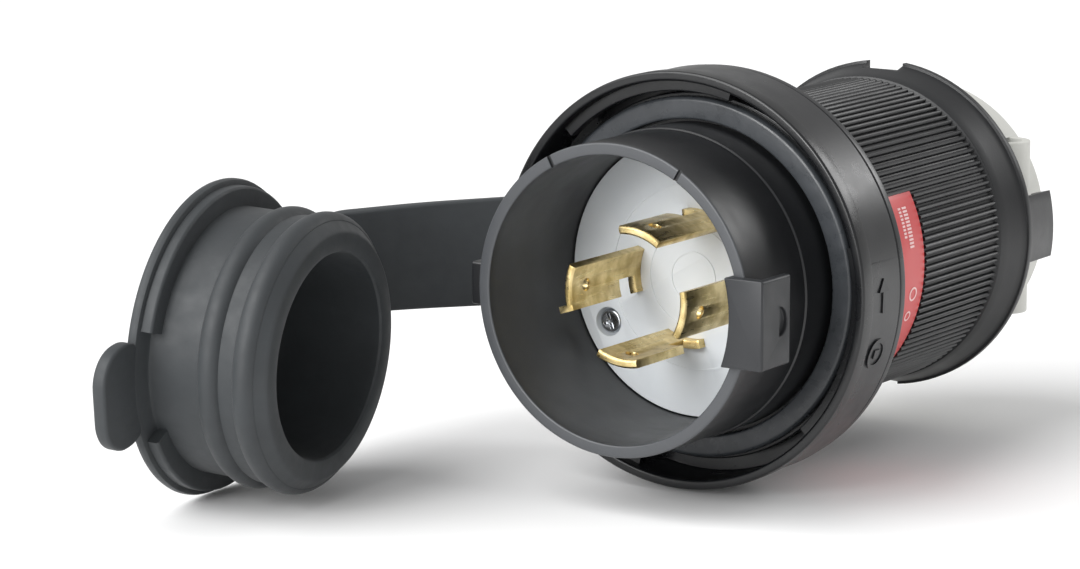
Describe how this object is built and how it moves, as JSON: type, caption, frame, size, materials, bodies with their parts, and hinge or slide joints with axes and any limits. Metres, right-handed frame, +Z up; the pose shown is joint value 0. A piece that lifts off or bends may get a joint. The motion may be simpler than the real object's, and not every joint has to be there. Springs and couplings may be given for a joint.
{
  "type": "shore power plug",
  "caption": "Weatherproof twist-lock power plug with shrouded blades, a turning coupling ring, a cord clamp and a rubber closure cap on a strap.",
  "frame": {"origin": "centre of the shroud's open mouth, on the plug's axis, in the plane of its rim", "axes": "+Y runs along the plug's axis from the mouth to the cord entry, +Z is up, and the closure cap lies open on the -X side"},
  "size_m": [0.1136, 0.1824, 0.0768],
  "materials": {
    "black_nylon": "fine moulded satin",
    "catch_nylon": "moulded satin",
    "inner_nylon": "moulded",
    "white_nylon": "smooth moulded",
    "clamp_nylon": "fine moulded satin",
    "cap_rubber": "moulded matte",
    "gasket_rubber": "smooth, slightly glossy",
    "blade_brass": "stamped, lightly tarnished",
    "screw_steel": "bright zinc plate",
    "label_red": "printed film"
  },
  "bodies": {
    "plug": {"shroud": "black_nylon", "rim_catch": "catch_nylon", "gasket": "gasket_rubber", "housing_seal": "gasket_rubber", "contact_carrier": "white_nylon", "carrier_back": "inner_nylon", "ground_blade": "blade_brass", "neutral_blade": "blade_brass", "line_blade_a": "blade_brass", "line_blade_b": "blade_brass", "wire_terminals": "blade_brass", "terminal_screws": "screw_steel", "face_screws": "screw_steel", "grip_housing": "black_nylon", "rating_label": "label_red", "strap_ring": "cap_rubber", "clamp_upper": "clamp_nylon", "clamp_lower": "clamp_nylon", "clamp_screws": "screw_steel", "clamp_nuts": "screw_steel", "cord_grommet": "gasket_rubber"},
    "ring": {"coupling_ring": "black_nylon"},
    "strap": {"cap_strap": "cap_rubber"},
    "cap": {"closure_cap": "cap_rubber"}
  },
  "joints": [
    {"name": "ring_turn", "type": "hinge", "parent": "plug", "child": "ring", "pos_m": [0, 0.03, 0], "axis": [0, 1, 0], "continuous": true},
    {"name": "strap_bend", "type": "hinge", "parent": "plug", "child": "strap", "pos_m": [-0.03271, 0.042, 0], "axis": [-0.0682, 0.0178, 0.9975], "range_deg": [0, 46.69], "stiffness_Nm_per_rad": 0.12},
    {"name": "cap_bend", "type": "hinge", "parent": "strap", "child": "cap", "pos_m": [-0.0736, 0.01955, -0.0024], "axis": [-0.1471, -0.2654, 0.9528], "range_deg": [0, 38.1], "stiffness_Nm_per_rad": 0.12}
  ]
}
